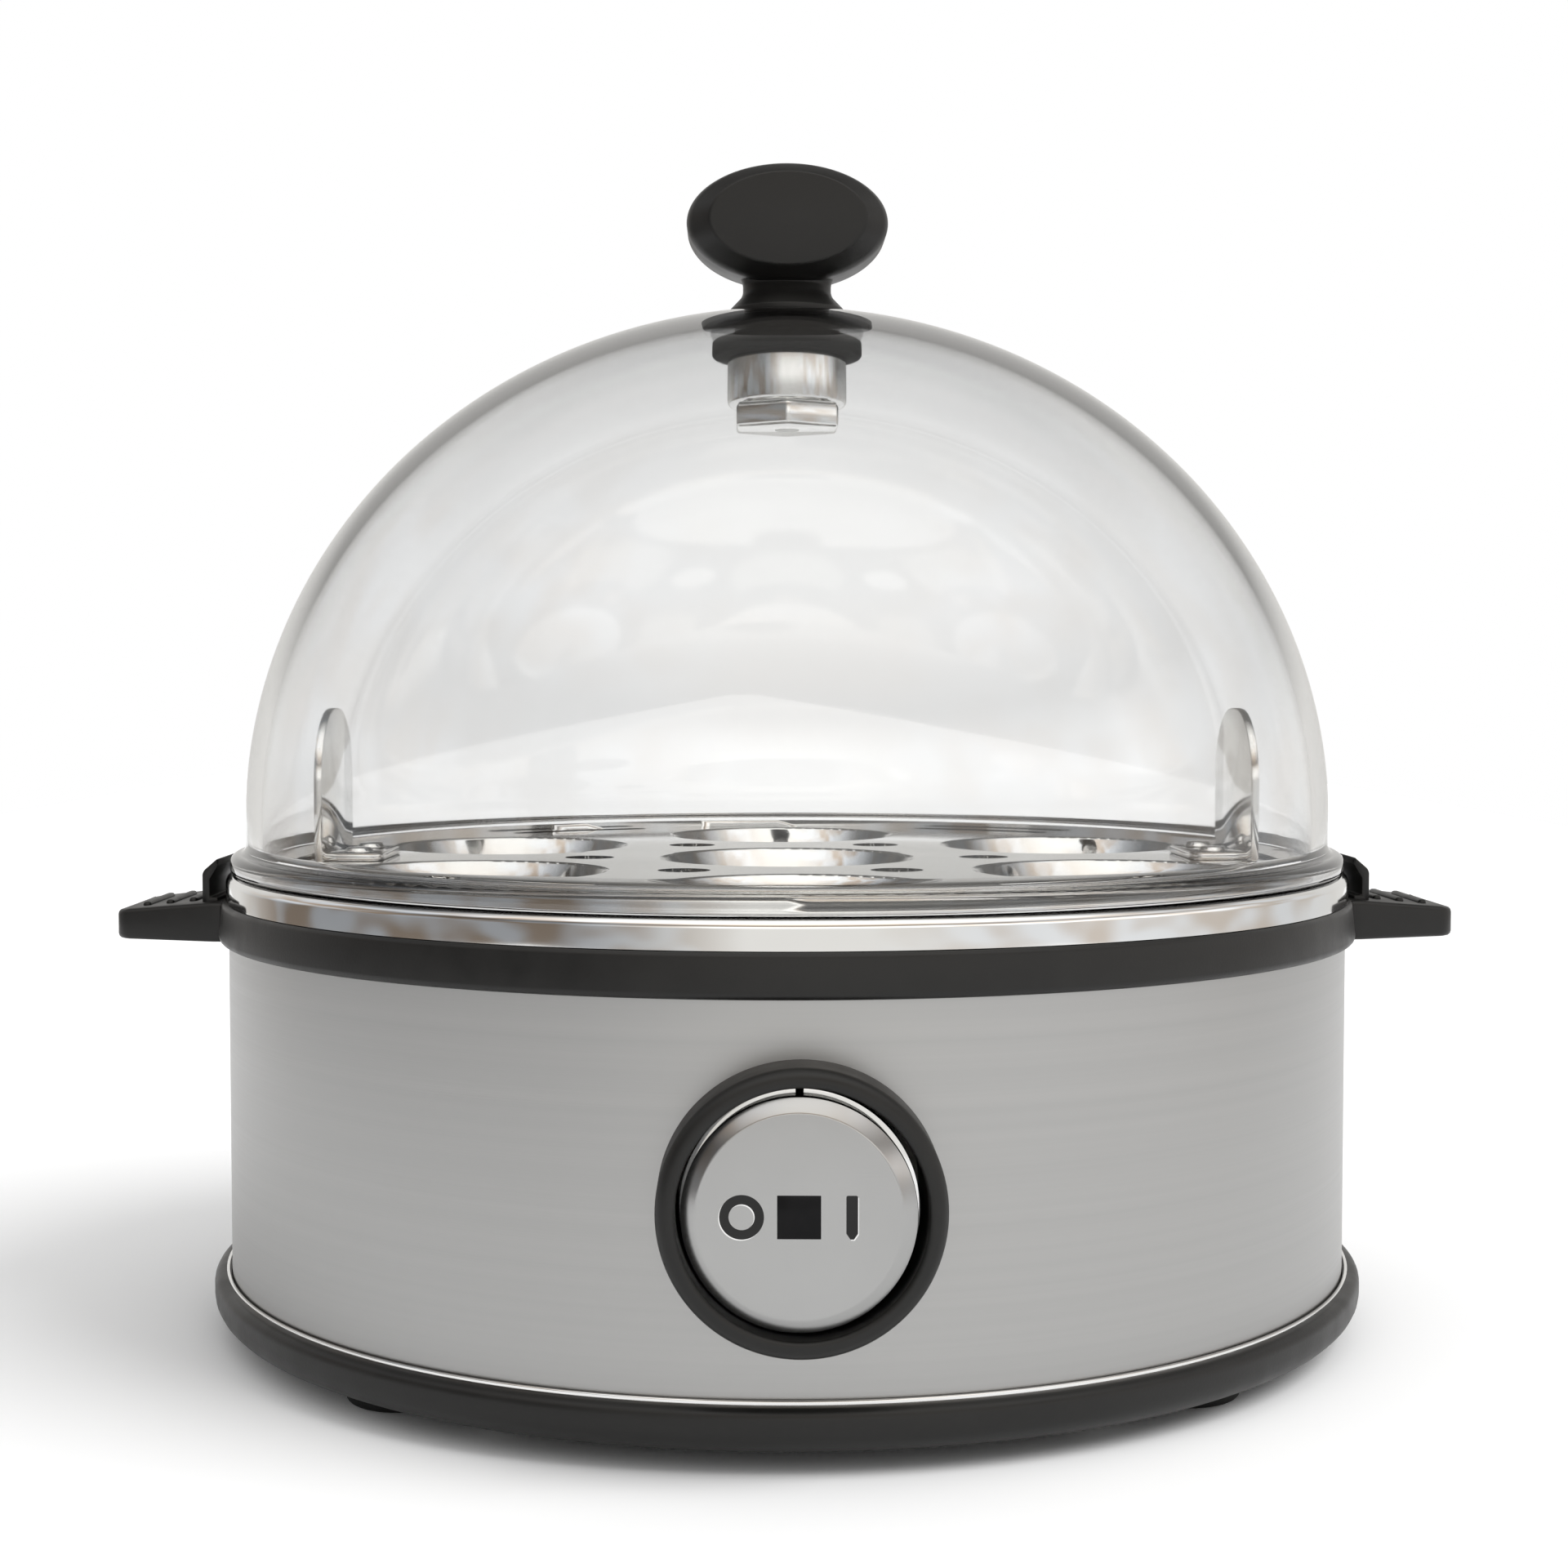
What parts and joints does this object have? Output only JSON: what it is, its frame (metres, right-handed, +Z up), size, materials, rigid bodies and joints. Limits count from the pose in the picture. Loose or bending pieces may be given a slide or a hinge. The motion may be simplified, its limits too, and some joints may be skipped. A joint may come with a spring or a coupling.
{
  "type": "electric egg cooker",
  "caption": "Round countertop egg cooker: clear domed lid over a steel egg tray and heated pan, brushed steel body with a rocker switch, collar with side ears, base on rubber feet.",
  "frame": {"origin": "on the table, under the middle of the round body", "axes": "+Z up, the switch looks along -Y, the side ears point along +X and -X"},
  "size_m": [0.191, 0.1753, 0.1651],
  "materials": {
    "clear_plastic": "clear moulded plastic, polished",
    "black_plastic": "black, satin gloss",
    "black_rubber": "matt",
    "brushed_wall": "brushed round the body",
    "polished_steel": "bright polished",
    "plated_steel": "zinc plated",
    "satin_cap": "fine satin",
    "aluminium": "as cast",
    "brass": "plain",
    "white_plastic": "matt",
    "dark_lens": "smoked, polished",
    "mark_ink": "dark inlay",
    "lamp_glass": "clear",
    "ceramic": "matt",
    "lead_red": "silicone insulation",
    "lead_white": "silicone insulation"
  },
  "bodies": {
    "base": {"base_ring": "black_plastic", "base_trim_ring": "polished_steel", "body_shell": "brushed_wall", "boiling_pan": "polished_steel", "bottom_cover": "black_plastic", "clamp_screws": "plated_steel", "collar_ring": "black_plastic", "cord_clamp": "white_plastic", "cord_clamp_screws": "plated_steel", "cord_gland": "black_rubber", "cover_screws": "plated_steel", "element_pins": "plated_steel", "foot_front_left": "black_rubber", "foot_front_right": "black_rubber", "foot_rear_left": "black_rubber", "foot_rear_right": "black_rubber", "fuse_clip": "plated_steel", "heater_plate": "aluminium", "heating_element": "plated_steel", "lead_block_switch": "lead_red", "lead_element_fuse": "lead_white", "lead_fuse_block": "lead_white", "lead_switch_thermostat": "lead_red", "lead_thermostat_element": "lead_red", "pan_nuts": "plated_steel", "pan_studs": "plated_steel", "rim_gasket": "black_rubber", "switch_bezel": "black_plastic", "switch_housing": "white_plastic", "switch_terminals": "brass", "terminal_block": "white_plastic", "thermal_fuse": "white_plastic", "thermostat": "ceramic", "thermostat_clamp": "plated_steel", "thermostat_tabs": "brass"},
    "egg_tray": {"egg_tray": "polished_steel", "tray_handle_left": "polished_steel", "tray_handle_right": "polished_steel", "tray_rivets": "polished_steel"},
    "lid": {"lid_dome": "clear_plastic", "lid_knob": "black_plastic", "knob_stud": "plated_steel", "knob_seal_washer": "black_rubber", "knob_nut": "polished_steel"},
    "rocker": {"rocker_cap": "satin_cap", "rocker_marks": "mark_ink", "rocker_band": "polished_steel", "rocker_carrier": "black_plastic", "lamp_window": "dark_lens", "indicator_lamp": "lamp_glass"},
    "contact": {"contact_blade": "brass"}
  },
  "joints": [
    {"name": "tray_lift", "type": "slide", "parent": "base", "child": "egg_tray", "axis": [0, 0, 1], "range_m": [0, 0.1]},
    {"name": "lid_lift", "type": "slide", "parent": "egg_tray", "child": "lid", "axis": [0, 0, 1], "range_m": [0, 0.13]},
    {"name": "power_rocker", "type": "hinge", "parent": "base", "child": "rocker", "pos_m": [0, -0.077, 0.0314], "axis": [0, 0, 1], "range_deg": [0, 4]},
    {"name": "contact_tilt", "type": "hinge", "parent": "base", "child": "contact", "pos_m": [0, -0.0675, 0.0314], "axis": [0, 0, 1], "range_deg": [-16, 0]}
  ],
  "couplings": [
    {"joint": "contact_tilt", "follows": "power_rocker", "ratio": -3}
  ]
}
